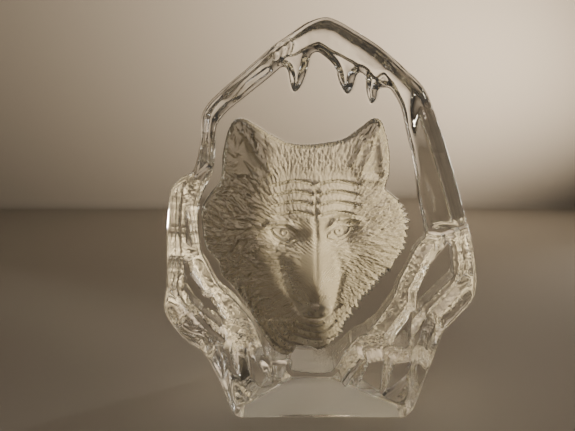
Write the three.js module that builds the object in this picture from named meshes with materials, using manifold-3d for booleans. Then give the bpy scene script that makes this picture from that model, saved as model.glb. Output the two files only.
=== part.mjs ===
// A free-standing sculpture in clear crystal: a wolf's head sunk into the back of a thick pane,
// inside a frame of ice with icicles. It is one pressed casting on a wide foot.
// X runs to the viewer's right, Y away from the viewer, Z up. The origin is the middle of the
// underside. Sizes are in millimetres.
import * as THREE from 'three';
import { mergeVertices } from 'three/addons/utils/BufferGeometryUtils.js';
import Module from 'manifold-3d';

const wasm = await Module();
wasm.setup();

// Driving dimensions.
const WIDTH = 129;
const FOOT_DEPTH = 54;
const FRONT = -FOOT_DEPTH / 2;
const BACK = FOOT_DEPTH / 2;
const EDGE_ROUND = 2;
const FOOT_CUT_LEAN = 0.75; // how fast the cuts at the back of the foot run out with height
const PANE_FOOT_THICKNESS = 28;
const PANE_LEAN = 10 / 150; // the pane thins by this much for each millimetre of height
const DRAFT = 0.07; // how much wider a moulded recess is at its mouth than at its floor
const CUT_PAST = 4; // how far a cutter runs past the surface that it opens
const ICICLE_HEIGHT = 9; // how far the icicles stand out of the pane
const RELIEF_STEP = 3.5; // depth of the crisp edge around the wolf
const FACE_CROWN = 4.5; // extra depth of the middle of the face
const MUZZLE_CROWN = 6.5; // extra depth of the muzzle
const FROST_THICKNESS = 1.5;
const TOUCHING_GAP = 0.35;

// Side view of the whole casting, as [depth behind the front face, height].
const SIDE_PROFILE = [
  [0, 0], [FOOT_DEPTH, 0], [FOOT_DEPTH, 8], [46.5, 18], [40, 30], [36.5, 45], [34.5, 62],
  [32.5, 85], [31, 110], [29.5, 135], [28, 166], [0, 166],
];

// The foot narrows towards the back: two sloping cuts, each through two points of the underside
// given as [x, depth behind the front face].
const FOOT_CUTS = [
  [[-37, 11], [-10.4, 54]],
  [[37, 18], [8.8, 54]],
];

// Front view of the casting, clockwise from the left end of the foot, as [x, z].
const OUTLINE = [
  [-33, 0], [-37, 1.8], [-39, 6], [-40.5, 11], [-43, 19], [-46.8, 28], [-50.5, 33.5], [-55.3, 37],
  [-58.5, 40.5], [-62, 46], [-64.5, 51], [-64.5, 56.5], [-62.8, 64], [-62, 72], [-61.3, 84],
  [-60, 95], [-58.5, 103], [-54.5, 107.5], [-49.8, 110], [-47.5, 115.5], [-46, 123],
  [-45.3, 130.5], [-42.5, 135.5], [-36.7, 140.8], [-27.3, 148.2], [-19, 155], [-13.3, 158.8],
  [-6.3, 163.2], [0, 165], [5, 163.7], [10.5, 160.8], [20, 155.2], [30, 147.4], [37, 141],
  [41.5, 132.5], [47, 119.5], [53, 103.8], [57.5, 91], [60.5, 83], [62.8, 74.5], [64.5, 66],
  [64.3, 59], [62, 54.3], [56.5, 47], [53, 42.5], [51.2, 36.5], [48.4, 25.6], [44.5, 10.8],
  [42.5, 4], [39.7, 0.7], [36.5, 0],
];

// The clear pane seen inside the frame, with the icicles hanging into it.
const WINDOW = [
  [-11, 14], [-12, 20], [-22, 20], [-25.5, 29], [-28.5, 38], [-33.5, 45.5], [-38.5, 51.5],
  [-44, 57.5], [-48, 66.5], [-50.7, 74], [-50.9, 92], [-47, 102.5], [-43.8, 109], [-42.5, 119.5],
  [-41.7, 126.5], [-37, 132.5], [-28.5, 139], [-18.5, 146.5], [-14, 148.8], [-12.2, 142.6],
  [-10.3, 139.6], [-7.4, 142.6], [-5.4, 148], [-4, 153.2], [-1.2, 154.3], [4.7, 149.5],
  [6.8, 143.7], [9, 139.9], [10.7, 138.7], [12.5, 141], [13.6, 145.3], [15, 147], [17, 145.3],
  [17.6, 140.4], [18.8, 136.6], [20.3, 135], [22.1, 137.2], [22.9, 140.8], [27.2, 140.8],
  [32, 134], [36, 121], [40, 106.5], [42.2, 95], [46, 81], [43, 76], [39.7, 68], [36.5, 60],
  [34, 51], [27.5, 39.5], [23.5, 34], [18.7, 31], [13.3, 23.5], [6.3, 13],
];

// Gaps between the struts of ice, each sunk to the pane.
const FRAME_GAPS = [
  [[-59, 55], [-58.5, 68.5], [-57, 68.5], [-56, 63], [-50.5, 52], [-48, 51.5], [-42, 38.5],
    [-44, 36.5], [-49, 41.5], [-56, 48.5]],
  [[-56.3, 91], [-54.6, 75], [-57, 77]],
  [[-55.5, 42], [-53, 42.5], [-47.5, 35.5], [-41.5, 29.5], [-43.5, 27.5], [-50.5, 35.5]],
  [[-43.3, 25.5], [-40, 24], [-38.8, 18], [-36.5, 9], [-38, 9.5], [-40, 17]],
  [[-31.5, 23], [-19.5, 6.5], [-25.5, 4.5], [-29, 9]],
  [[-21, 17], [-13.6, 17], [-15.5, 9.5], [-19, 11]],
  [[56, 78], [58, 76], [60.3, 62], [51.5, 51.5], [44.8, 42.5], [44.3, 53], [49.5, 68]],
  [[43.3, 44.5], [43.2, 27.5], [41.5, 25.8], [34.3, 27.2], [38.5, 35]],
  [[25, 17.8], [31.8, 19.6], [31, 3.5], [19.5, 4]],
  [[36.8, 17.5], [44, 18.8], [40.8, 9.5], [37.5, 4], [35, 4], [35.2, 10]],
  [[14.5, 5], [22.8, 20], [20.8, 20.2], [12.5, 7]],
  [[47, 36], [49.8, 41], [48, 32], [45.6, 26], [44.8, 31]],
];

// The wolf's head, clockwise from the tip of the left ear.
const WOLF = [
  [-32.5, 129.5], [-26, 127], [-19.5, 123], [-13, 120], [-5.5, 119], [3, 120], [9.5, 121.5],
  [16, 126], [21, 129.5], [23.8, 128.5], [26, 124], [28, 115.5], [28.3, 108], [27, 101.5],
  [29.5, 99], [33.5, 95], [36, 88.5], [37, 82], [35.5, 74.5], [32, 68], [27, 62.5], [22, 55.5],
  [17.5, 50], [14.5, 43.5], [11, 38], [9, 32.5], [5, 28], [1, 26], [-3, 27.5], [-8.5, 28],
  [-10.5, 24.5], [-14, 22.5], [-19, 25], [-23, 31], [-26.5, 38], [-29.5, 44], [-33.5, 51.5],
  [-37, 57], [-41.5, 62], [-43.5, 69], [-48, 75.5], [-49, 84], [-49, 92], [-45.5, 98.5],
  [-40.5, 105], [-39, 115.5], [-36.5, 125],
];
const FACE_MIDDLE = [-3, 82];
const WOLF_SECTORS = 72;
const WOLF_RINGS = 12;

// Sculpted hollows of the face, as [x, z, half width, half height, rise].
const FACE_DIMPLES = [
  [-14.5, 83, 5, 3.5, 1.6],
  [8, 83.5, 5, 3.5, 1.6],
  [-29.5, 114, 5, 9, 1.4],
  [21.5, 114, 4.5, 9, 1.4],
];

const paneBack = (z) => FRONT + PANE_FOOT_THICKNESS - PANE_LEAN * z;
const mix = (a, b, t) => a + (b - a) * t;
const bell = (u) => Math.exp(-u * u);

function movePoints(geometry, place) {
  const position = geometry.attributes.position;
  for (let i = 0; i < position.count; i += 1) {
    const [x, y, z] = place(position.getX(i), position.getY(i), position.getZ(i));
    position.setXYZ(i, x, y, z);
  }
  return geometry;
}

function toSolid(geometry) {
  geometry.deleteAttribute('normal');
  geometry.deleteAttribute('uv');
  const merged = mergeVertices(geometry, 1e-4);
  return new wasm.Manifold(new wasm.Mesh({
    numProp: 3,
    vertProperties: new Float32Array(merged.attributes.position.array),
    triVerts: new Uint32Array(merged.index.array),
  }));
}

function toGeometry(solid) {
  const mesh = solid.getMesh();
  const geometry = new THREE.BufferGeometry();
  geometry.setAttribute('position', new THREE.BufferAttribute(mesh.vertProperties, 3));
  geometry.setIndex(new THREE.BufferAttribute(mesh.triVerts, 1));
  geometry.computeVertexNormals();
  return geometry;
}

function shapeOf(points) {
  return new THREE.Shape(points.map(([x, z]) => new THREE.Vector2(x, z)));
}

// The outline pushed back from the front face, with its front and back edges rounded.
function frontPrism() {
  const geometry = new THREE.ExtrudeGeometry(shapeOf(OUTLINE), {
    depth: FOOT_DEPTH - 2 * EDGE_ROUND,
    bevelThickness: EDGE_ROUND,
    bevelSize: EDGE_ROUND,
    bevelOffset: -EDGE_ROUND,
    bevelSegments: 3,
  });
  geometry.rotateX(Math.PI / 2);
  return toSolid(geometry.translate(0, BACK - EDGE_ROUND, 0));
}

// The side view pushed across the whole width.
function sidePrism() {
  const geometry = new THREE.ExtrudeGeometry(shapeOf(SIDE_PROFILE), {
    depth: WIDTH + 2 * CUT_PAST,
    bevelEnabled: false,
  });
  const left = -WIDTH / 2 - CUT_PAST;
  return toSolid(movePoints(geometry, (depth, height, across) => [
    across + left,
    depth + FRONT,
    height,
  ]));
}

// Cuts the back corner of the foot away along a plane that leans outwards as it rises.
function cutFoot(block, [[nearX, nearDepth], [farX, farDepth]]) {
  const [across, back] = [farX - nearX, farDepth - nearDepth];
  const length = Math.hypot(across, back);
  const normal = [
    (Math.sign(across) * back) / length,
    -Math.abs(across) / length,
    FOOT_CUT_LEAN,
  ];
  const size = Math.hypot(...normal);
  const offset = normal[0] * nearX + normal[1] * (nearDepth + FRONT);
  return block.trimByPlane(normal.map((part) => part / size), offset / size);
}

// A recess from the pane to the back of the casting, wider at its mouth.
function recess(points, floorOffset = 0) {
  const shape = shapeOf(points);
  const geometry = new THREE.ExtrudeGeometry(shape, { depth: FOOT_DEPTH, bevelEnabled: false });
  const box = new THREE.Box2().setFromPoints(shape.getPoints());
  const middle = box.getCenter(new THREE.Vector2());
  return toSolid(movePoints(geometry, (x, z, fromMouth) => {
    const fromFloor = FOOT_DEPTH - fromMouth;
    const spread = 1 + DRAFT * (fromFloor / FOOT_DEPTH);
    const placedZ = mix(middle.y, z, spread);
    return [mix(middle.x, x, spread), paneBack(placedZ) + floorOffset + fromFloor, placedZ];
  }));
}

// Trims the icicles back, so that they stand only a little out of the pane.
function icicleTrim() {
  return recess([[-17, 134], [-17, 147], [-2, 157], [27, 143], [27, 134]], ICICLE_HEIGHT);
}

// How far the wolf's surface lies in front of the pane's back. Inwardness is 0 at the outline of
// the head and 1 in the middle of the face.
function reliefDepth(x, z, inwardness) {
  const crown = FACE_CROWN * (1 - (1 - inwardness) ** 2);
  const along = THREE.MathUtils.smoothstep(z, 38, 47) * (1 - THREE.MathUtils.smoothstep(z, 58, 98));
  const muzzle = MUZZLE_CROWN * along * bell((x + 0.5) / 10);
  const dimples = FACE_DIMPLES.reduce(
    (sum, [cx, cz, rx, rz, rise]) => sum + rise * bell(Math.hypot((x - cx) / rx, (z - cz) / rz)),
    0,
  );
  return RELIEF_STEP + crown + muzzle - dimples * inwardness;
}

// A closed body over the wolf's outline between two surfaces, each a function of x, z and
// inwardness. Its rings shrink from the outline to the middle of the face.
function wolfBody(inset, frontSurface, backSurface) {
  const curve = new THREE.CatmullRomCurve3(WOLF.map(([x, z]) => new THREE.Vector3(x, 0, z)), true);
  const rim = curve.getSpacedPoints(WOLF_SECTORS).slice(0, WOLF_SECTORS);
  const [middleX, middleZ] = FACE_MIDDLE;
  const vertices = [];
  const faces = [];
  const addSurface = (surface) => {
    vertices.push(middleX, surface(middleX, middleZ, 1), middleZ);
    for (let ring = 1; ring <= WOLF_RINGS; ring += 1) {
      const reach = ring / WOLF_RINGS;
      for (const point of rim) {
        const radius = Math.hypot(point.x - middleX, point.z - middleZ);
        const scale = ring === WOLF_RINGS ? 1 - inset / radius : reach;
        const x = mix(middleX, point.x, scale);
        const z = mix(middleZ, point.z, scale);
        vertices.push(x, surface(x, z, 1 - reach), z);
      }
    }
  };
  const perSurface = 1 + WOLF_RINGS * WOLF_SECTORS;
  const at = (side, ring, sector) => side * perSurface
    + (ring === 0 ? 0 : 1 + (ring - 1) * WOLF_SECTORS + (sector % WOLF_SECTORS));
  addSurface(frontSurface);
  addSurface(backSurface);
  const addQuad = (a, b, c, d) => faces.push(a, c, b, a, d, c);
  for (let sector = 0; sector < WOLF_SECTORS; sector += 1) {
    faces.push(at(0, 0, 0), at(0, 1, sector + 1), at(0, 1, sector));
    faces.push(at(1, 0, 0), at(1, 1, sector), at(1, 1, sector + 1));
    for (let ring = 1; ring < WOLF_RINGS; ring += 1) {
      const [s, t] = [sector, sector + 1];
      addQuad(at(0, ring, s), at(0, ring + 1, s), at(0, ring + 1, t), at(0, ring, t));
      addQuad(at(1, ring, t), at(1, ring + 1, t), at(1, ring + 1, s), at(1, ring, s));
    }
    const last = WOLF_RINGS;
    addQuad(at(0, last, sector), at(1, last, sector), at(1, last, sector + 1), at(0, last, sector + 1));
  }
  const geometry = new THREE.BufferGeometry();
  geometry.setAttribute('position', new THREE.Float32BufferAttribute(vertices, 3));
  geometry.setIndex(faces);
  return geometry;
}

// The whole casting: foot, frame, struts, icicles and the pane with the wolf's hollow.
function crystalBlock() {
  const hollow = wolfBody(
    0,
    (x, z, inwardness) => paneBack(z) - reliefDepth(x, z, inwardness),
    (x, z) => paneBack(z) + CUT_PAST,
  );
  const cutters = [recess(WINDOW), icicleTrim(), ...FRAME_GAPS.map((gap) => recess(gap))];
  let block = frontPrism().intersect(sidePrism());
  for (const cut of FOOT_CUTS) block = cutFoot(block, cut);
  for (const cutter of cutters) block = block.subtract(cutter);
  return toGeometry(block.subtract(toSolid(hollow)));
}

// The frosted surface of the wolf, as a thin lining of the hollow.
function wolfRelief() {
  const front = (x, z, inwardness) => paneBack(z) - reliefDepth(x, z, inwardness) + TOUCHING_GAP;
  const back = (x, z, inwardness) => front(x, z, inwardness) + FROST_THICKNESS;
  return toGeometry(toSolid(wolfBody(2 * TOUCHING_GAP, front, back)));
}

function addPiece(group, name, geometry, material) {
  const mesh = new THREE.Mesh(geometry, material);
  mesh.name = name;
  group.add(mesh);
}

const clearCrystal = new THREE.MeshStandardMaterial({ color: 0xe9ebe6, roughness: 0.03, metalness: 0 });
const frostedCrystal = new THREE.MeshStandardMaterial({ color: 0xcfcfc8, roughness: 0.55, metalness: 0 });

const sculpture = new THREE.Group();
addPiece(sculpture, 'crystal_block', crystalBlock(), clearCrystal);
addPiece(sculpture, 'wolf_relief', wolfRelief(), frostedCrystal);

export default sculpture;
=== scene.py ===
"""The looks of a clear crystal sculpture: a frosted wolf's head in a frame of ice.

The whole casting is one closed glass mesh, made here as a relief over the front view. Lengths are
in millimetres until the mesh is written, and depth runs from the flat front face backwards.
"""
import math

import bpy
import numpy as np
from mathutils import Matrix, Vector
from mathutils.geometry import delaunay_2d_cdt


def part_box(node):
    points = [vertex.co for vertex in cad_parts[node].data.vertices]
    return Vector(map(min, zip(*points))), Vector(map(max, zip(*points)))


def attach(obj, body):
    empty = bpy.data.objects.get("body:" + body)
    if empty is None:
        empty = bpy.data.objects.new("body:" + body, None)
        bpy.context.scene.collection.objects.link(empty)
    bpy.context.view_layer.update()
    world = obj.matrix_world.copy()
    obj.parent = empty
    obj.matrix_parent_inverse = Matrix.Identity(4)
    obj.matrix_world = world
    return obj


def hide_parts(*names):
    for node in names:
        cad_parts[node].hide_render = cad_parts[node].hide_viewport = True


MM = 0.001

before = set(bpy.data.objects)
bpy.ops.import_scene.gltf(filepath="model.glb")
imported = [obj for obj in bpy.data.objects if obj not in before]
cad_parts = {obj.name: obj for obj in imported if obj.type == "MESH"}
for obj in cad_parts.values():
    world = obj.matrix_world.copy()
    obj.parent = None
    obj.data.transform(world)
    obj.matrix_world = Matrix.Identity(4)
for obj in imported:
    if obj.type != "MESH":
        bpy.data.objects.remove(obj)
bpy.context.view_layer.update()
BLOCK_LOW, BLOCK_HIGH = (np.array(corner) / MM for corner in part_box("crystal_block"))
FRONT = BLOCK_LOW[1]
HEIGHT = BLOCK_HIGH[2]

# The pane's thickness at the floor, and how much it thins with height.
PANE_FOOT_THICKNESS = 28
PANE_LEAN = 10 / 150

# How round the casting's front and back edges are.
FRONT_ROUND = 2.0
BACK_ROUND = 2.6
FOOT_BACK_ROUND = 1.0

# How far the recesses' walls lean out: round the window, in the frame's gaps and at the icicles.
WALL_WIDTH = 1.5
GAP_WALL_WIDTH = 0.8
ICICLE_ROUND = 1.9

# How far the icicles stand out behind the pane.
ICICLE_THICKNESS = 7.5

# The crisp step at the wolf's edge.
RELIEF_STEP = 3.2

# The back of the right arm: how deep its outer edge is, and how steeply it rises from there.
ARM_EDGE_DEPTH = 22
ARM_SLOPE = 0.95

# How much of the light the frosted wolf and the mottled ice spread, from 0 to 1.
FROST_SPREAD = 0.62
ICE_SPREAD = 0.45

IOR = 1.545
FLOOR_GAP = 0.4 * MM
BACKDROP = 392 * MM

# Spacing of the mesh's points along the outlines, over the wolf and over the rest.
RIM_SPACING = 1.15
WINDOW_SPACING = 0.9
GAP_SPACING = 0.8
TOOTH_SPACING = 0.42
WOLF_SPACING = 0.37
FRAME_SPACING = 0.6

# Rings of points over the casting's sides, and round its front edge.
SIDE_STEPS = 14
ROUND_STEPS = 6

# The order of the casting's finishes.
CLEAR, FROSTED, ICY, GROUND = range(4)

# Depth of the frame's back behind the front face, as [height, depth].
FRAME_PROFILE = [
    [0, 54], [8, 54], [18, 46.5], [30, 40], [45, 36.5], [62, 34.5], [85, 32.5], [110, 31],
    [135, 29.5], [165, 28],
]

# The foot narrows towards the back by two sloping cuts. Each runs over the floor from the first
# (x, depth) to the second, and leans back with height.
FOOT_CUTS = [((-37, 11), (-10.4, 54)), ((37, 18), (8.8, 54))]
FOOT_CUT_LEAN = 0.75

# The casting's outline, the recess's outline and the recesses between the struts, as [x, height].
OUTLINE = [
    [-33, 0], [-37, 1.8], [-39, 6], [-40.5, 11], [-43, 19], [-46.8, 28], [-50.5, 33.5],
    [-55.3, 37], [-58.5, 40.5], [-62, 46], [-64.3, 51], [-64.3, 56.5], [-62.8, 64], [-62, 72],
    [-61.3, 84], [-60, 95], [-58.5, 103], [-54.5, 107.5], [-49.8, 110], [-47.5, 115.5],
    [-46, 123], [-45.3, 130.5], [-42.5, 135.5], [-36.7, 140.8], [-27.3, 148.2], [-19, 155],
    [-13.3, 158.8], [-6.3, 163.2], [0, 165], [5, 163.7], [10.5, 160.8], [20, 155.2], [30, 147.4],
    [37, 141], [41.5, 132.5], [47, 119.5], [53, 103.8], [57.5, 91], [60.5, 83], [62.8, 74.5],
    [64.3, 66], [64.1, 59], [62, 54.3], [56.5, 47], [53, 42.5], [51.2, 36.5], [48.4, 25.6],
    [44.5, 10.8], [42.5, 4], [39.7, 0.7], [36.5, 0],
]

WINDOW = [
    [-11, 14], [-12, 20], [-22, 20], [-25.5, 29], [-28.5, 38], [-33.5, 45.5], [-38.5, 51.5],
    [-44, 57.5], [-48, 66.5], [-50.7, 74], [-50.9, 92], [-47, 102.5], [-43.8, 109],
    [-42.5, 119.5], [-41.7, 126.5], [-37, 132.5], [-28.5, 139], [-18.5, 146.5], [-14, 148.8],
    [-12.2, 142.6], [-10.3, 139.6], [-7.4, 142.6], [-5.4, 148], [-4, 153.2], [-1.2, 154.3],
    [4.7, 149.5], [6.8, 143.7], [9, 139.9], [10.7, 138.7], [12.5, 141], [13.6, 145.3],
    [15, 147], [17, 145.3], [17.6, 140.4], [18.8, 136.6], [20.3, 135], [22.1, 137.2],
    [22.9, 140.8], [27.2, 140.8], [32, 134], [36, 121], [40, 106.5], [42.2, 95], [46, 81],
    [43, 76], [39.7, 68], [36.5, 60], [34, 51], [27.5, 39.5], [23.5, 34], [18.7, 31],
    [13.3, 23.5], [6.3, 13],
]

FRAME_GAPS = [
    [[-59, 55], [-58.5, 68.5], [-57, 68.5], [-56, 63], [-50.5, 52], [-48, 51.5], [-42, 38.5],
     [-44, 36.5], [-49, 41.5], [-56, 48.5]],
    [[-56.3, 91], [-54.6, 75], [-57, 77]],
    [[-55.5, 42], [-53, 42.5], [-47.5, 35.5], [-41.5, 29.5], [-43.5, 27.5], [-50.5, 35.5]],
    [[-43.3, 25.5], [-40, 24], [-38.8, 18], [-36.5, 9], [-38, 9.5], [-40, 17]],
    [[-31.5, 23], [-19.5, 6.5], [-25.5, 4.5], [-29, 9]],
    [[-21, 17], [-13.6, 17], [-15.5, 9.5], [-19, 11]],
    [[56, 78], [58, 76], [60.3, 62], [51.5, 51.5], [44.8, 42.5], [44.3, 53], [49.5, 68]],
    [[43.3, 44.5], [43.2, 27.5], [41.5, 25.8], [34.3, 27.2], [38.5, 35]],
    [[25, 17.8], [31.8, 19.6], [31, 3.5], [19.5, 4]],
    [[36.8, 17.5], [44, 18.8], [40.8, 9.5], [37.5, 4], [35, 4], [35.2, 10]],
    [[14.5, 5], [22.8, 20], [20.8, 20.2], [12.5, 7]],
    [[47, 36], [49.8, 41], [48, 32], [45.6, 26], [44.8, 31]],
]

WOLF = [
    [-32.5, 129.5], [-26, 127], [-19.5, 123], [-13, 120], [-5.5, 119], [3, 120], [9.5, 121.5],
    [16, 126], [21, 129.5], [23.8, 128.5], [26, 124], [28, 115.5], [28.3, 108], [27, 101.5],
    [29.5, 99], [33.5, 95], [36, 88.5], [37, 82], [35.5, 74.5], [32, 68], [27, 62.5], [22, 55.5],
    [17.5, 50], [14.5, 43.5], [11, 38], [9, 32.5], [5, 28], [1, 26], [-3, 27.5], [-8.5, 28],
    [-10.5, 24.5], [-14, 22.5], [-19, 25], [-23, 31], [-26.5, 38], [-29.5, 44], [-33.5, 51.5],
    [-37, 57], [-41.5, 62], [-43.5, 69], [-48, 75.5], [-49, 84], [-49, 92], [-45.5, 98.5],
    [-40.5, 105], [-39, 115.5], [-36.5, 125],
]


def smoothstep(low, high, value):
    """Rises smoothly from 0 at low to 1 at high, or falls where low is above high."""
    t = np.clip((value - low) / (high - low), 0, 1)
    return t * t * (3 - 2 * t)


def bell(u):
    return np.exp(-u * u)


def smooth_loop(points, spacing):
    """A closed smooth curve through the points, sampled evenly."""
    start = np.array(points, float)
    end = np.roll(start, -1, 0)
    span = np.hypot(*(end - start).T)[:, None]
    heading = end - np.roll(start, 1, 0)
    heading /= np.hypot(*heading.T)[:, None]
    leave = heading * np.minimum(span, np.roll(span, 1, 0))
    arrive = np.roll(heading, -1, 0) * np.minimum(span, np.roll(span, -1, 0))
    t = np.linspace(0, 1, 16, endpoint=False)[None, :, None]
    a, b, m, n = (q[:, None, :] for q in (start, end, leave, arrive))
    ease = 3 * t**2 - 2 * t**3
    fine = a + (b - a) * ease + m * (t**3 - 2 * t**2 + t) + n * (t**3 - t**2)
    return even_loop(fine.reshape(-1, 2), spacing)


def even_loop(loop, spacing):
    """A closed loop sampled evenly, with its corners kept almost sharp."""
    closed = np.vstack([loop, loop[:1]])
    length = np.concatenate([[0], np.cumsum(np.hypot(*np.diff(closed, axis=0).T))])
    count = int(round(length[-1] / spacing))
    at = np.linspace(0, length[-1], count, endpoint=False)
    return np.column_stack([np.interp(at, length, closed[:, k]) for k in (0, 1)])


def loop_distance(points, loop):
    """Distance to a closed loop, positive outside it and negative inside."""
    start = np.asarray(loop, float)
    end = np.roll(start, -1, 0)
    best = np.full(len(points), 1e9)
    inside = np.zeros(len(points), bool)
    for (ax, az), (bx, bz) in zip(start, end):
        px, pz = points[:, 0] - ax, points[:, 1] - az
        sx, sz = bx - ax, bz - az
        t = np.clip((px * sx + pz * sz) / (sx * sx + sz * sz + 1e-12), 0, 1)
        best = np.minimum(best, (px - t * sx) ** 2 + (pz - t * sz) ** 2)
        crosses = (az > points[:, 1]) != (bz > points[:, 1])
        if sz:
            inside ^= crosses & (points[:, 0] < ax + sx * (points[:, 1] - az) / sz)
    return np.sqrt(best) * np.where(inside, -1, 1)


def loop_normals(loop, reach=2):
    """Unit vectors pointing out of a loop."""
    tangent = np.roll(loop, -reach, 0) - np.roll(loop, reach, 0)
    tangent /= np.hypot(*tangent.T)[:, None]
    normals = np.column_stack([-tangent[:, 1], tangent[:, 0]])
    outward = loop_distance(loop[:1] + normals[:1] * 0.5, loop)[0] > 0
    return normals if outward else -normals


def path_distance(points, path):
    """Distance to an open path, and how far along it the nearest point is, from 0 to 1."""
    path = np.asarray(path, float)
    lengths = np.hypot(*np.diff(path, axis=0).T)
    total, done = lengths.sum(), 0
    best = np.full(len(points), 1e9)
    along = np.zeros(len(points))
    for a, b, length in zip(path[:-1], path[1:], lengths):
        p, s = points - a, b - a
        t = np.clip(p @ s / (length * length), 0, 1)
        gap = np.hypot(*(p - t[:, None] * s).T)
        nearer = gap < best
        best = np.where(nearer, gap, best)
        along = np.where(nearer, (done + t * length) / total, along)
        done += length
    return best, along


def table_at(table, where, column=1):
    """The value in a table's column, between rows that are ordered by their first value."""
    rows = np.array(table, float)
    return np.interp(where, rows[:, 0], rows[:, column])


class Noise:
    """Smooth noise of two coordinates, from -1 to 1, the same on every run."""

    def __init__(self, seed, size=64):
        self.size = size
        self.grid = np.random.default_rng(seed).uniform(-1, 1, (size, size))

    def __call__(self, x, z, scale):
        u, v = x / scale, z / scale
        i, j = np.floor(u).astype(int), np.floor(v).astype(int)
        f, g = u - i, v - j
        f, g = f * f * (3 - 2 * f), g * g * (3 - 2 * g)
        at = lambda di, dj: self.grid[(i + di) % self.size, (j + dj) % self.size]
        low = at(0, 0) * (1 - f) + at(1, 0) * f
        high = at(0, 1) * (1 - f) + at(1, 1) * f
        return low * (1 - g) + high * g


noise_a, noise_b, noise_c = Noise(11), Noise(23), Noise(37)


# ---------------------------------------------------------------- frame and pane

def pane_depth(z):
    return PANE_FOOT_THICKNESS - PANE_LEAN * z


# The lower edge of the arch, where the icicles' roots begin, as [x, height].
ICICLE_ROOTS = [
    [-34, 141], [-20, 150], [-8, 156.3], [-1, 158.2], [8, 154.6], [17, 149.6], [27, 142], [33, 136],
]

# Fine grooves where the arms of ice meet the blocks under them, and along the arch.
GROOVE_DEPTH = 1.4
GROOVE_WIDTH = 0.8
GROOVES = [
    [[42.5, 83], [48, 79.6], [55, 78.8], [63, 81.5]],
    [[42, 80.6], [48, 77.4], [55, 76.6], [63, 79]],
    [[-63, 69.5], [-57, 68], [-52, 70.5]],
    [[-60, 106.5], [-52, 105], [-44.5, 111]],
    [[-47.5, 113], [-44.8, 122], [-43, 130], [-36, 136], [-29, 143.5], [-21, 149]],
    [[22.5, 144.5], [25.5, 146.5], [30, 141]],
    *([[-19 + 3 * k, 149.5 + 2 * k], [-17.5 + 3 * k, 154 + 2 * k]] for k in range(3)),
]


def foot_cut(x, z, near, far):
    """Depth of one of the sloping cuts at the back of the foot."""
    across, back = far[0] - near[0], far[1] - near[1]
    length = math.hypot(across, back)
    out_x, out_y = -back / length * np.sign(across), abs(across) / length
    return near[1] + (-(x - near[0]) * out_x + FOOT_CUT_LEAN * z) / out_y


def frame_depth(x, z):
    """Depth of the ice frame's back, with its chipped and melted surface."""
    depth = table_at(FRAME_PROFILE, z)
    for near, far in FOOT_CUTS:
        depth = np.minimum(depth, foot_cut(x, z, near, far))
    facets = np.abs(noise_a(x, z, 13)) * 3.2 - 0.6
    melt = 0.25 * noise_b(x, z, 4.2) + 0.12 * noise_c(x, z, 1.7)
    smooth_block = smoothstep(-46, -50, x) * smoothstep(104, 98, z) * smoothstep(66, 72, z)
    rough = smoothstep(18, 34, z) * (1 - 0.8 * smooth_block)
    return depth - facets * rough * 0.8 + melt * rough


def wall_rise(distance, width):
    """How much of a recess's wall is climbed at this distance outside its floor."""
    return 1 - np.exp(-(np.maximum(distance, 0) / width) ** 2)


def back_depth(points, rim_distance):
    """Depth of the casting's back: the ridges of the frame and the pane between them."""
    x, z = points.T
    icicles = smoothstep(131, 134, z) * smoothstep(-21, -18, x) * smoothstep(31, 28, x)
    width = WALL_WIDTH + (ICICLE_ROUND - WALL_WIDTH) * icicles
    rise = wall_rise(loop_distance(points, window_loop), width)
    for loop in gap_loops:
        rise *= wall_rise(loop_distance(points, loop), GAP_WALL_WIDTH)
    ridge = frame_depth(x, z)
    for groove in GROOVES:
        gap, _ = path_distance(points, groove)
        ridge -= GROOVE_DEPTH * bell(gap / GROOVE_WIDTH)
    right_arm = smoothstep(36, 40, x) * smoothstep(82, 86, z) * smoothstep(142, 136, z)
    ridge -= right_arm * np.maximum(ridge - ARM_EDGE_DEPTH + ARM_SLOPE * rim_distance, 0)
    pane = np.minimum(pane_depth(z), ridge)
    roots = table_at(ICICLE_ROOTS, x) + 0.8 * noise_b(x, z, 5)
    below_roots = icicles * smoothstep(0.5, -0.9, z - roots)
    spare = ridge - pane - ICICLE_THICKNESS + 0.6 * noise_c(x, z, 3)
    ridge -= below_roots * np.maximum(spare, 0)
    depth = pane + (ridge - pane) * rise
    round_off = BACK_ROUND - (BACK_ROUND - FOOT_BACK_ROUND) * smoothstep(14, 4, z)
    edge = np.clip(1 + rim_distance / round_off, 0, 1)
    return depth - round_off * (1 - np.sqrt(1 - edge * edge))


# ---------------------------------------------------------------- wolf

# The face, as (x, height): each eye's inner and outer corner, the brows, the ears' hollows and
# the ridge along the inner edge of each, and the lines where the muzzle meets the cheeks.
NOSE = (-0.5, 48)
EYES = [((-11, 81.3), (-18.6, 84.2)), ((4.6, 82), (11.8, 85))]
BROWS = [
    [[-26, 84.5], [-20.5, 87.6], [-13, 87.4], [-7, 82.5]],
    [[1.8, 83.5], [6.5, 89.2], [13, 90], [20, 88]],
]
EAR_HOLLOWS = [([-36, 104], [-31.5, 126], [-20, 108]), ([16, 106], [22.5, 126], [26, 105])]
EAR_RIDGES = [
    [[-31.5, 126.5], [-27, 118], [-20.5, 109]],
    [[22, 126], [16, 119], [12.5, 112]],
]
MUZZLE_EDGES = [
    [[6.5, 78], [9.5, 68], [9, 58], [7.2, 50]],
    [[-18, 77], [-16, 66], [-13, 56], [-10.5, 49]],
]
MOUTH = [[-10.5, 50], [-8, 46], [-4.5, 43.6], [-0.5, 43.9], [3.5, 43.6], [6, 45.5], [7.8, 49.5]]
NOSTRIL = [[2.3, 47.3], [3.9, 48.6], [5, 47.2]]
CHEEKS = [(-27, 0.7), (25, 1.8)]

# The face's middle line, which leans a little, as [height, x].
BRIDGE_LINE = [[0, 0], [51, 0], [69.5, -1], [88.5, -1.5], [96, -2]]

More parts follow.
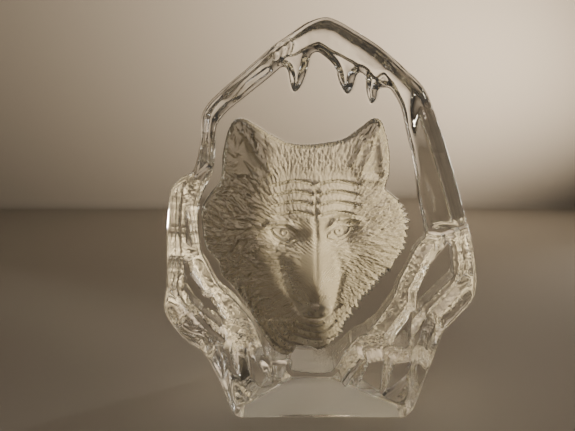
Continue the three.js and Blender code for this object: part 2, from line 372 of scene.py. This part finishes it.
# The muzzle's half widths to the left and right of that line, as [height, left, right].
MUZZLE_WIDTHS = [
    [30, 9, 8], [38, 9.5, 8], [48, 10, 7.4], [61, 15.3, 9.8], [73.5, 19, 15], [84, 12, 11],
    [96, 12, 12],
]

# How far the muzzle and brow stand out along that line, as [height, rise].
CREST = [
    [28, 0.5], [38, 2.4], [43, 3.4], [46, 6.2], [50, 7.8], [61, 7.6], [73, 6.2], [84, 4.4],
    [94, 3], [112, 1],
]

# The rows of hair: where the forehead's start, and how high one row is on the forehead, the
# neck and the bridge of the nose.
FOREHEAD_START = 90.2
FOREHEAD_ROW = 4.3
NECK_ROW = 4.4
BRIDGE_ROW = 1.45


def bridge_line(z):
    return table_at(BRIDGE_LINE, z)


def eye_relief(points, inner, outer):
    """One eye, raised towards the viewer: lids, ball and the folds under it."""
    inner, outer = np.array(inner), np.array(outer)
    centre, half = (inner + outer) / 2, np.hypot(*(outer - inner)) / 2 + 0.4
    along = (outer - inner) / (2 * half)
    up = np.array([-along[1], along[0]]) * np.sign(along[0])
    p = points - centre
    a, b = p @ along, p @ up
    open_half = 1.7 * np.clip(1 - (a / half) ** 2, 0, 1) ** 0.7
    inside = (np.abs(b) < open_half) & (np.abs(a) < half)
    radius = np.hypot(a, b - 0.2)
    iris = 0.7 * smoothstep(1.75, 1.25, radius) - 0.9 * bell(radius / 0.55)
    ball = np.where(inside, -0.5 - 0.35 * (a / half) ** 2 + iris, 0)
    edge = np.abs(np.abs(b) - open_half) + 2 * np.maximum(np.abs(a) - half, 0)
    lid = (1.1 + 0.7 * (b > 0)) * bell(edge / 0.6) * ~inside
    below = np.zeros(len(points))
    for drop, strength in [(1.5, 0.55), (2.7, 0.4)]:
        curve = -(open_half + drop * np.clip(1.15 - (a / (half + 1.5)) ** 2, 0, 1))
        below -= strength * 1.5 * bell((b - curve) / 0.42) * (np.abs(a) < half + 1.2)
    socket = -1.9 * bell(np.hypot(a / 7.2, b / 4.6))
    return socket + ball + lid + below


def ear_relief(points, root_a, tip, root_b):
    """The scooped inside of an ear with its raised rim."""
    triangle = np.array([root_a, tip, root_b], float)
    distance = loop_distance(points, triangle)
    scoop = -1.5 * smoothstep(0.5, -5, distance)
    rim = 0.5 * bell(distance / 1.1)
    return scoop + rim


def muzzle_form(points):
    """The bulk of the muzzle and brow, a rounded ridge along the middle line."""
    x, z = points.T
    side = x - bridge_line(z)
    left, right = table_at(MUZZLE_WIDTHS, z, 1), table_at(MUZZLE_WIDTHS, z, 2)
    reach = np.abs(side) / np.where(side < 0, left, right)
    return table_at(CREST, z) * np.maximum(1.03 - np.sqrt(reach * reach + 0.012), 0)


def centre_grooves(points):
    """The furrow between the brows, and the finer one down the bridge of the nose."""
    x, z = points.T
    side = x - bridge_line(z)
    wander = side + 0.5 * noise_b(x, z, 4)
    furrow = 1.1 * bell(wander / 1.2) * smoothstep(106, 99, z) * smoothstep(76, 84, z)
    fine = 0.5 * bell(side / 0.9) * smoothstep(58, 66, z) * smoothstep(86, 80, z)
    return furrow + fine


def face_lines(points):
    """Brows and the ears' ridges, which stand out, and the muzzle's edges, which sink in."""
    h = np.zeros(len(points))
    for brow in BROWS:
        gap, along = path_distance(points, brow)
        h += 2.7 * bell(gap / 1.2) * smoothstep(0, 0.3, along) * smoothstep(1, 0.7, along)
    for ridge in EAR_RIDGES:
        gap, along = path_distance(points, ridge)
        h += 1.1 * bell(gap / 1.1) * smoothstep(0, 0.15, along)
    for edge in MUZZLE_EDGES:
        gap, along = path_distance(points, edge)
        h -= 1.3 * bell(gap / 1.7) * smoothstep(0, 0.3, along)
    return h


def head_form(points, edge_distance):
    """Height of the head in front of the pane's back, without fur."""
    x, z = points.T
    inside = np.maximum(-edge_distance, 0)
    h = RELIEF_STEP * (1 - np.exp(-((inside + 0.25) / 0.7) ** 1.5))
    h += 4.6 * (1 - np.exp(-inside / 13))
    h += muzzle_form(points) + face_lines(points) - centre_grooves(points)
    for inner, outer in EYES:
        h += eye_relief(points, inner, outer)
    for ear in EAR_HOLLOWS:
        h += ear_relief(points, *ear)
    for cheek_x, rise in CHEEKS:
        h += rise * bell(np.hypot((x - cheek_x) / 10, (z - 74) / 12))
    return h


def forehead_rows(x, z, side):
    """Arched rows of short hair over the brows, each with a crease above it."""
    arch = 2.2 * bell((side - 8) / 7)
    row = (z - arch - FOREHEAD_START) / FOREHEAD_ROW
    crease = bell((row - np.round(row)) * FOREHEAD_ROW / 0.55)
    where = smoothstep(20, 15, side) * smoothstep(89, 91.5, z) * smoothstep(108, 104, z)
    return where * (1.9 * (1 - row % 1) - 0.8 - 1.5 * crease) * smoothstep(0.5, 2, side)


def brushed_relief(points):
    """Combed rows of short hair on the forehead, down the bridge of the nose and on the neck."""
    x, z = points.T
    side = np.abs(x - bridge_line(z))
    drift = 0.5 * noise_a(x, z, 7)
    bridge = smoothstep(8.5, 6.5, side) * smoothstep(54, 58, z) * smoothstep(91, 88, z)
    comb = np.cos(2 * math.pi * (z - 0.8 * side + 3.6 * drift) / BRIDGE_ROW)
    strokes = 0.17 * comb * (0.5 + 0.5 * noise_c(x, z, 1.6))
    far = np.hypot(x + 1, z - 50)
    neck_rows = 1.6 * (1 - (far + 2.2 * drift) / NECK_ROW % 1) - 0.7
    return forehead_rows(x, z, side) + bridge * strokes + smoothstep(44, 40, z) * neck_rows


def muzzle_relief(points):
    """Nose pad, nostrils and the line of the mouth."""
    x, z = points.T
    nx, nz = x - NOSE[0], z - NOSE[1]
    pad_width = 7.0 - 0.5 * np.clip(nz, -5, 5)
    pad = np.clip(1 - (np.abs(nx) / pad_width) ** 2.4 - (nz / 4.3) ** 2, 0, 1) ** 0.5
    h = 2.1 * pad
    for side in (-1, 1):
        nostril = [[NOSE[0] + side * across, height] for across, height in NOSTRIL]
        gap, _ = path_distance(points, nostril)
        h -= 1.3 * bell(gap / 0.7)
    gap, _ = path_distance(points, [[NOSE[0], 49.5], [NOSE[0], 43.5]])
    h -= 0.6 * bell(gap / 0.45)
    gap, _ = path_distance(points, MOUTH)
    return h - 1.5 * bell(gap / 0.75)


def hair_direction(x, z):
    """Which way the fur points: outward from the middle of the face, and up the muzzle's sides."""
    away_x, away_z = x + 1.2, z - 76
    size = math.hypot(away_x, away_z) + 1e-6
    direction = np.array([away_x / size, away_z / size])
    muzzle = bell(away_x / 9) * (1 - smoothstep(70, 84, z)) * smoothstep(40, 48, z)
    up = np.array([0.62 * (1 if away_x > 0 else -1), 0.78])
    direction = (1 - muzzle) * direction + muzzle * up
    crown = smoothstep(17, 12, abs(away_x)) * smoothstep(86, 92, z)
    direction = (1 - crown) * direction + crown * np.array([0.02 * away_x, 1])
    return direction / (np.hypot(*direction) + 1e-6)


# The head's area in square millimetres, and the seed of the first layer of fur.
HEAD_AREA = 6400
FUR_SEED = 101

# Layers of locks: how many, length, half width, height, whether they reach the muzzle, and
# whether they are the curls of the left cheek.
FUR = [
    (330, 8.5, 1.7, 0.85, False, False),
    (5200, 3.2, 0.58, 0.85, True, False),
    (520, 8.5, 1.6, 1.8, False, True),
]


def scatter(count, seed, spacing):
    """Points spread evenly but not regularly over the head."""
    rng = np.random.default_rng(seed)
    low, high = wolf_loop.min(0), wolf_loop.max(0)
    cells = np.stack(np.meshgrid(*(np.arange(a, b, spacing) for a, b in zip(low, high))), -1)
    cells = cells.reshape(-1, 2) + rng.uniform(-0.5, 0.5, (cells.size // 2, 2)) * spacing
    inside = loop_distance(cells, wolf_loop) < 0.2
    cells = cells[inside]
    rng.shuffle(cells)
    return cells[:count], rng


def lock_direction(x, z, lean):
    """Which way one lock points. The locks of the left cheek swirl most."""
    swirl = 0.3 + 1.3 * float(smoothstep(-18, -26, x))
    turn = lean + swirl * float(noise_b(np.array(x), np.array(z), 10))
    c, s = math.cos(turn), math.sin(turn)
    across, up = hair_direction(x, z)
    return np.array([c * across - s * up, s * across + c * up])


def lock_lift(places, direction, reach, half, bend):
    """Height of one lock, from 0 to 1, at places given from its root."""
    a = (places @ direction) / reach
    b = (places[:, 1] * direction[0] - places[:, 0] * direction[1]) / half - bend * a * a
    taper = np.clip(1 - a, 0, 1) ** 0.6 * smoothstep(-0.25, 0.15, a)
    body = np.clip(1 - (b / np.maximum(taper, 0.02)) ** 2, 0, 1) ** 0.5
    return (0.35 + 0.65 * smoothstep(0, 0.75, a)) * body * (taper > 0.03)


def fur_relief(points):
    """Locks of fur laid over each other like shingles."""
    order = np.argsort(points[:, 0])
    sorted_x = points[order, 0]
    total = np.zeros(len(points))
    for layer, (count, length, half, height, reaches_muzzle, curled) in enumerate(FUR):
        roots, rng = scatter(count, FUR_SEED + layer, math.sqrt(HEAD_AREA / count))
        stretches = rng.uniform(0.7, 1.25, len(roots))
        leans = rng.normal(0, 0.16, len(roots))
        relief = np.zeros(len(points))
        for (x, z), stretch, lean in zip(roots, stretches, leans):
            if bald(x, z) or (on_muzzle(x, z) and not reaches_muzzle) or (curled and x > -24):
                continue
            low_brow = abs(x + 1.5) < 15 and 88 < z < 108
            reach = length * stretch * (0.7 if low_brow else 1)
            first, last = np.searchsorted(sorted_x, [x - reach - half, x + reach + half])
            near = order[first:last]
            near = near[np.abs(points[near, 1] - z) < reach + half]
            bend = 2 * lean + (0.9 * np.sign(lean) if curled else 0)
            direction = lock_direction(x, z, lean)
            lift = height * lock_lift(points[near] - (x, z), direction, reach, half, bend)
            lift *= 0.4 if low_brow else 1
            relief[near] = np.maximum(relief[near], lift)
        total += relief
    return total


def bald(x, z):
    """Whether a place has no locks: the eyes, brows, nose, bridge and the ears' hollows."""
    for inner, outer in EYES:
        centre = (np.array(inner) + np.array(outer)) / 2
        if math.hypot((x - centre[0]) / 6.4, (z - centre[1] + 0.5) / 4.0) < 1:
            return True
    side = abs(x - bridge_line(z))
    if 54 < z < 88 and side < 6.5:
        return True
    place = np.array([[x, z]])
    if any(path_distance(place, brow)[0][0] < 1.2 for brow in BROWS):
        return True
    if any(loop_distance(place, np.array(ear))[0] < -1 and z > 107 for ear in EAR_HOLLOWS):
        return True
    return math.hypot((x - NOSE[0]) / 8, (z - NOSE[1]) / 5) < 1


def on_muzzle(x, z):
    """Whether a place is close to the face's middle line."""
    return abs(x - bridge_line(z)) < 16


def wolf_height(points, edge_distance):
    """Height of the whole relief in front of the pane's back."""
    inside = np.maximum(-edge_distance, 0)
    fade = smoothstep(0, 0.8, inside)
    detail = muzzle_relief(points) + brushed_relief(points) + fur_relief(points)
    return head_form(points, edge_distance) + detail * fade


# ---------------------------------------------------------------- glass mesh

def toothed_loop(loop):
    """The wolf's outline with pointed locks round the ruff and short ones on the crown."""
    x, z = loop.T
    step = np.hypot(*(np.roll(loop, -1, 0) - loop).T)
    along = np.cumsum(step)
    right_ruff = smoothstep(99, 90, z) * smoothstep(-5, 4, x)
    left_ruff = smoothstep(82, 70, z) * smoothstep(-5, -14, x)
    beat = along / 2.7 + 0.9 * noise_a(x, z, 5)
    tooth = (beat % 1) ** 1.3 * (1 + 0.7 * noise_b(x, z, 4)) * (0.62 + 0.38 * np.sign(x))
    crown = smoothstep(100, 112, z)
    short = (along / 1.3 % 1) * 0.4
    push = (right_ruff + left_ruff) * (2.0 * tooth - 0.5) + crown * (short - 0.2)
    return loop + loop_normals(loop, 6) * push[:, None]


rim_loop = smooth_loop(OUTLINE, RIM_SPACING)
rim_loop[:, 1] = np.maximum(rim_loop[:, 1], 0)
window_loop = smooth_loop(WINDOW, WINDOW_SPACING)
gap_loops = [even_loop(np.array(gap, float), GAP_SPACING) for gap in FRAME_GAPS]
wolf_loop = toothed_loop(smooth_loop(WOLF, TOOTH_SPACING))
coarse_wolf = smooth_loop(WOLF, 2.5)


def hex_points(spacing, keep):
    """Points in staggered rows over the block's front view, where keep says so."""
    rows = np.arange(0, HEIGHT, spacing * math.sqrt(3) / 2)
    columns = np.arange(BLOCK_LOW[0], BLOCK_HIGH[0], spacing)
    x, z = np.meshgrid(columns, rows)
    x = x + spacing / 2 * (np.arange(len(rows)) % 2)[:, None]
    points = np.column_stack([x.ravel(), z.ravel()])
    return points[keep(points)]


def near_wolf(points):
    return loop_distance(points, coarse_wolf) < 1.2


def away_from_wolf(points):
    return ~near_wolf(points)


def ring_edges(start, count):
    return [(start + k, start + (k + 1) % count) for k in range(count)]


def flat_mesh():
    """Triangles over the front view, finer over the wolf, with the wolf's outline as edges."""
    inner = np.vstack([
        hex_points(WOLF_SPACING, near_wolf),
        hex_points(FRAME_SPACING, away_from_wolf),
    ])
    inner = inner[loop_distance(inner, rim_loop) < -0.45]
    inner = inner[np.abs(loop_distance(inner, wolf_loop)) > 0.18]
    points = np.vstack([rim_loop, wolf_loop, inner])
    rim_count = len(rim_loop)
    edges = ring_edges(0, rim_count) + ring_edges(rim_count, len(wolf_loop))
    made = delaunay_2d_cdt([Vector(p) for p in points], edges, [], 0, 1e-4)
    vertices = np.array([tuple(v) for v in made[0]])
    faces = np.array(made[2])
    faces = faces[loop_distance(vertices[faces].mean(1), rim_loop) < 0]
    rim = np.zeros(rim_count, int)
    for index, sources in enumerate(made[3]):
        for source in sources:
            if source < rim_count:
                rim[source] = index
    return vertices, faces, rim


def is_icy(points):
    """The backs of the lower struts, which are mottled like rough ice."""
    x, z = points.T
    ridge = np.minimum.reduce([loop_distance(points, loop) for loop in [window_loop, *gap_loops]])
    left = (x < 0) & (z > 20) & (z < 104)
    right = (x > 0) & (z > 3) & (z < 80)
    return (ridge > 0.9) & (left | right) & (loop_distance(points, rim_loop) < -1.5)


def relief_depth(flat):
    """Depth of the whole back, with the wolf sunk into the pane."""
    depth = back_depth(flat, loop_distance(flat, rim_loop))
    wolf_distance = loop_distance(flat, wolf_loop)
    inside = wolf_distance < 0.01
    sunk = flat[inside]
    hollow = pane_depth(sunk[:, 1]) - wolf_height(sunk, wolf_distance[inside])
    depth[inside] = np.minimum(depth[inside], hollow)
    return depth


def back_finish(middles):
    """The finish of each triangle of the back, from its middle."""
    in_wolf = loop_distance(middles, wolf_loop) < 0
    return np.where(in_wolf, FROSTED, np.where(is_icy(middles), ICY, CLEAR))


def side_rings(back_y):
    """Rings of points from the back's rim forwards, and then round the front edge."""
    rings = []
    for k in range(1, SIDE_STEPS):
        y = FRONT_ROUND + (back_y - FRONT_ROUND) * (1 - k / SIDE_STEPS)
        rings.append(np.column_stack([rim_loop[:, 0], FRONT + y, rim_loop[:, 1]]))
    normals = loop_normals(rim_loop)
    for k in range(ROUND_STEPS + 1):
        angle = k / ROUND_STEPS * math.pi / 2
        ring = rim_loop - normals * (FRONT_ROUND * (1 - math.cos(angle)))
        y = np.full(len(ring), FRONT + FRONT_ROUND * (1 - math.sin(angle)))
        rings.append(np.column_stack([ring[:, 0], y, ring[:, 1]]))
    return rings


def glass_mesh():
    """Vertices, faces and finishes of the closed casting, and how many faces the flat front has."""
    flat, back_faces, rim = flat_mesh()
    depth = relief_depth(flat)
    vertices = [np.column_stack([flat[:, 0], FRONT + depth, flat[:, 1]])]
    faces = [back_faces[:, ::-1]]
    finish = [back_finish(flat[back_faces].mean(1))]
    underside = (rim_loop[:, 1] < 0.05) & (np.roll(rim_loop[:, 1], -1) < 0.05)
    previous, offset, count = rim, len(flat), len(rim)
    for k, ring in enumerate(side_rings(depth[rim])):
        vertices.append(ring)
        current = offset + np.arange(count)
        following = np.roll(current, -1)
        faces.append(np.column_stack([previous, current, following]))
        faces.append(np.column_stack([previous, following, np.roll(previous, -1)]))
        ground = underside & (k < SIDE_STEPS - 1)
        finish.append(np.tile(np.where(ground, GROUND, CLEAR), 2))
        previous = current
        offset += count
    vertices.append(np.array([[0, FRONT, HEIGHT / 2]]))
    faces.append(np.column_stack([previous, np.full(count, offset), np.roll(previous, -1)]))
    finish.append(np.full(count, CLEAR))
    return np.vstack(vertices), np.vstack(faces), np.concatenate(finish), count


def build_glass(materials):
    """The casting as one object, with its materials in the order of the finishes."""
    vertices, faces, finish, front_count = glass_mesh()
    mesh = bpy.data.meshes.new("crystal_sculpture")
    mesh.from_pydata((vertices * MM).tolist(), [], faces.tolist())
    for material in materials:
        mesh.materials.append(material)
    mesh.polygons.foreach_set("material_index", finish.astype(np.int32))
    smooth = np.ones(len(faces), bool)
    smooth[-front_count:] = False
    mesh.polygons.foreach_set("use_smooth", smooth)
    mesh.update()
    mesh.validate()
    piece = bpy.data.objects.new("crystal_sculpture", mesh)
    bpy.context.scene.collection.objects.link(piece)
    return piece


# ---------------------------------------------------------------- materials

def node_material(name):
    material = bpy.data.materials.new(name)
    material.use_nodes = True
    nodes, links = material.node_tree.nodes, material.node_tree.links
    return material, nodes, links, nodes["Principled BSDF"]


def band(nodes, links, value, low, high):
    """A node output that rises from 0 to 1 as the value goes from low to high."""
    rise = nodes.new("ShaderNodeMapRange")
    rise.inputs["From Min"].default_value = low
    rise.inputs["From Max"].default_value = high
    links.new(value, rise.inputs["Value"])
    return rise.outputs["Result"]


def clear_crystal():
    """Clear crystal, with a slightly melted surface behind the front face and above the foot."""
    material, nodes, links, shader = node_material("clear_crystal")
    shader.inputs["Base Color"].default_value = (0.985, 0.985, 0.975, 1)
    shader.inputs["IOR"].default_value = IOR
    shader.inputs["Transmission Weight"].default_value = 1
    shader.inputs["Roughness"].default_value = 0.0
    place = nodes.new("ShaderNodeTexCoord")
    melt = nodes.new("ShaderNodeTexNoise")
    melt.inputs["Scale"].default_value = 520
    melt.inputs["Detail"].default_value = 2
    axes = nodes.new("ShaderNodeSeparateXYZ")
    ridges = band(nodes, links, axes.outputs["Y"], 2 * MM, 5 * MM)
    above_foot = band(nodes, links, axes.outputs["Z"], 14 * MM, 26 * MM)
    mask = nodes.new("ShaderNodeMath")
    mask.operation = "MULTIPLY"
    height = nodes.new("ShaderNodeMath")
    height.operation = "MULTIPLY"
    bump = nodes.new("ShaderNodeBump")
    bump.inputs["Strength"].default_value = 0.8
    bump.inputs["Distance"].default_value = 0.0005
    links.new(place.outputs["Object"], melt.inputs["Vector"])
    links.new(place.outputs["Object"], axes.inputs["Vector"])
    links.new(ridges, mask.inputs[0])
    links.new(above_foot, mask.inputs[1])
    links.new(mask.outputs["Value"], height.inputs[0])
    links.new(melt.outputs["Fac"], height.inputs[1])
    links.new(height.outputs["Value"], bump.inputs["Height"])
    links.new(bump.outputs["Normal"], shader.inputs["Normal"])
    return material


def icy_crystal():
    """The rough backs of the struts: frosted in patches, clear between them."""
    material, nodes, links = rough_crystal(
        "icy_crystal", ICE_SPREAD, (0.8, 0.7, 0.5, 1), (0.0, 0.1), 420, 0.6 * MM,
    )
    patches = nodes.new("ShaderNodeTexNoise")
    patches.inputs["Scale"].default_value = 520
    patches.inputs["Detail"].default_value = 4
    patches.inputs["Distortion"].default_value = 1.5
    share = band(nodes, links, patches.outputs["Fac"], 0.42, 0.72)
    most = nodes.new("ShaderNodeMath")
    most.operation = "MULTIPLY"
    most.inputs[1].default_value = ICE_SPREAD
    links.new(share, most.inputs[0])
    links.new(most.outputs["Value"], nodes["Mix Shader"].inputs["Fac"])
    links.new(nodes["Texture Coordinate"].outputs["Object"], patches.inputs["Vector"])
    return material


def frosted_crystal():
    """The frosted surface of the wolf."""
    glow_color = (0.18, 0.155, 0.105, 1)
    return rough_crystal(
        "frosted_crystal", FROST_SPREAD, glow_color, (0.12, 0.3), 900, 0.06 * MM,
    )[0]


def rough_crystal(name, share, glow_color, roughness, grain_scale, bump_depth):
    """Crystal that bends part of the light as rough glass does and spreads the rest out."""
    material, nodes, links, shader = node_material(name)
    shader.inputs["Base Color"].default_value = (0.95, 0.95, 0.93, 1)
    shader.inputs["IOR"].default_value = IOR
    shader.inputs["Transmission Weight"].default_value = 1
    place = nodes.new("ShaderNodeTexCoord")
    grain = nodes.new("ShaderNodeTexNoise")
    grain.inputs["Scale"].default_value = grain_scale
    grain.inputs["Detail"].default_value = 3
    spread = nodes.new("ShaderNodeMapRange")
    spread.inputs["To Min"].default_value = roughness[0]
    spread.inputs["To Max"].default_value = roughness[1]
    bump = nodes.new("ShaderNodeBump")
    bump.inputs["Strength"].default_value = 1
    bump.inputs["Distance"].default_value = bump_depth
    glow = nodes.new("ShaderNodeBsdfTranslucent")
    glow.inputs["Color"].default_value = glow_color
    both = nodes.new("ShaderNodeMixShader")
    both.inputs["Fac"].default_value = share
    links.new(place.outputs["Object"], grain.inputs["Vector"])
    links.new(grain.outputs["Fac"], spread.inputs["Value"])
    links.new(spread.outputs["Result"], shader.inputs["Roughness"])
    links.new(grain.outputs["Fac"], bump.inputs["Height"])
    links.new(bump.outputs["Normal"], shader.inputs["Normal"])
    links.new(shader.outputs["BSDF"], both.inputs[1])
    links.new(glow.outputs["BSDF"], both.inputs[2])
    links.new(both.outputs["Shader"], nodes["Material Output"].inputs["Surface"])
    return material, nodes, links


def ground_crystal():
    """The ground underside, which is matt."""
    material, _, _, shader = node_material("ground_crystal")
    shader.inputs["Base Color"].default_value = (0.95, 0.92, 0.86, 1)
    shader.inputs["Roughness"].default_value = 0.6
    shader.inputs["IOR"].default_value = IOR
    shader.inputs["Transmission Weight"].default_value = 0.2
    return material


# ---------------------------------------------------------------- stage

def matte(name, color):
    material, _, _, shader = node_material(name)
    shader.inputs["Base Color"].default_value = (*color, 1)
    shader.inputs["Roughness"].default_value = 0.8
    return material


def sweep(width, near, far, height, color):
    """A floor that meets an upright backdrop in a small curve."""
    bend = 0.012
    profile = [(near, 0), (far - bend, 0)]
    profile += [
        (far - bend + bend * math.sin(a), bend - bend * math.cos(a))
        for a in np.linspace(0, math.pi / 2, 9)[1:]
    ]
    profile += [(far, height)]
    vertices = [(side * width / 2, y, z) for y, z in profile for side in (-1, 1)]
    faces = [(2 * k, 2 * k + 1, 2 * k + 3, 2 * k + 2) for k in range(len(profile) - 1)]
    mesh = bpy.data.meshes.new("studio_floor")
    mesh.from_pydata(vertices, [], faces)
    mesh.materials.append(matte("studio_paper", color))
    floor = bpy.data.objects.new("studio_floor", mesh)
    floor.location.z = -FLOOR_GAP
    bpy.context.scene.collection.objects.link(floor)


def area_light(name, place, target, size, power, color, spread):
    data = bpy.data.lights.new(name, "AREA")
    data.spread = math.radians(spread)
    data.shape = "RECTANGLE"
    data.size, data.size_y = size
    data.energy = power
    data.color = color
    light = bpy.data.objects.new(name, data)
    light.location = place
    light.rotation_euler = (Vector(target) - Vector(place)).to_track_quat("-Z", "Y").to_euler()
    bpy.context.scene.collection.objects.link(light)


def light_scene():
    world = bpy.data.worlds.new("studio")
    bpy.context.scene.world = world
    world.use_nodes = True
    sky = world.node_tree.nodes["Background"]
    sky.inputs["Color"].default_value = (0.6, 0.54, 0.46, 1)
    sky.inputs["Strength"].default_value = 0.08
    centre = (0, 0, 0.085)
    area_light("key", (-0.40, 0.20, 0.02), centre, (0.06, 0.03), 0.38, (1, 0.9, 0.72), 24)
    area_light("side", (0.46, 0.28, 0.12), centre, (0.02, 0.2), 0.06, (1, 0.94, 0.86), 40)
    area_light("fill", (-0.25, -0.6, 0.7), centre, (0.4, 0.4), 0.09, (1, 0.93, 0.84), 60)
    high = (-0.05, BACKDROP, 0.32)
    area_light("wall", (0.62, 0.05, 0.06), high, (0.2, 0.1), 2.2, (1, 0.84, 0.66), 60)


def place_camera():
    data = bpy.data.cameras.new("camera")
    data.sensor_width = 36
    data.lens = 27.05
    data.clip_start = 0.01
    camera = bpy.data.objects.new("camera", data)
    camera.location = (-13.14 * MM, (FRONT - 163.63) * MM, 133.82 * MM)
    camera.rotation_euler = (math.radians(90 - 14), 0, 0)
    bpy.context.scene.collection.objects.link(camera)
    bpy.context.scene.camera = camera


place_camera()
sweep(3.0, -1.2, BACKDROP, 1.6, (0.52, 0.48, 0.42))
light_scene()
sculpture = build_glass([
    clear_crystal(),
    frosted_crystal(),
    icy_crystal(),
    ground_crystal(),
])
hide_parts("crystal_block", "wolf_relief")
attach(sculpture, "root")
cycles = bpy.context.scene.cycles
cycles.max_bounces = 24
cycles.transmission_bounces = 24
cycles.glossy_bounces = 12
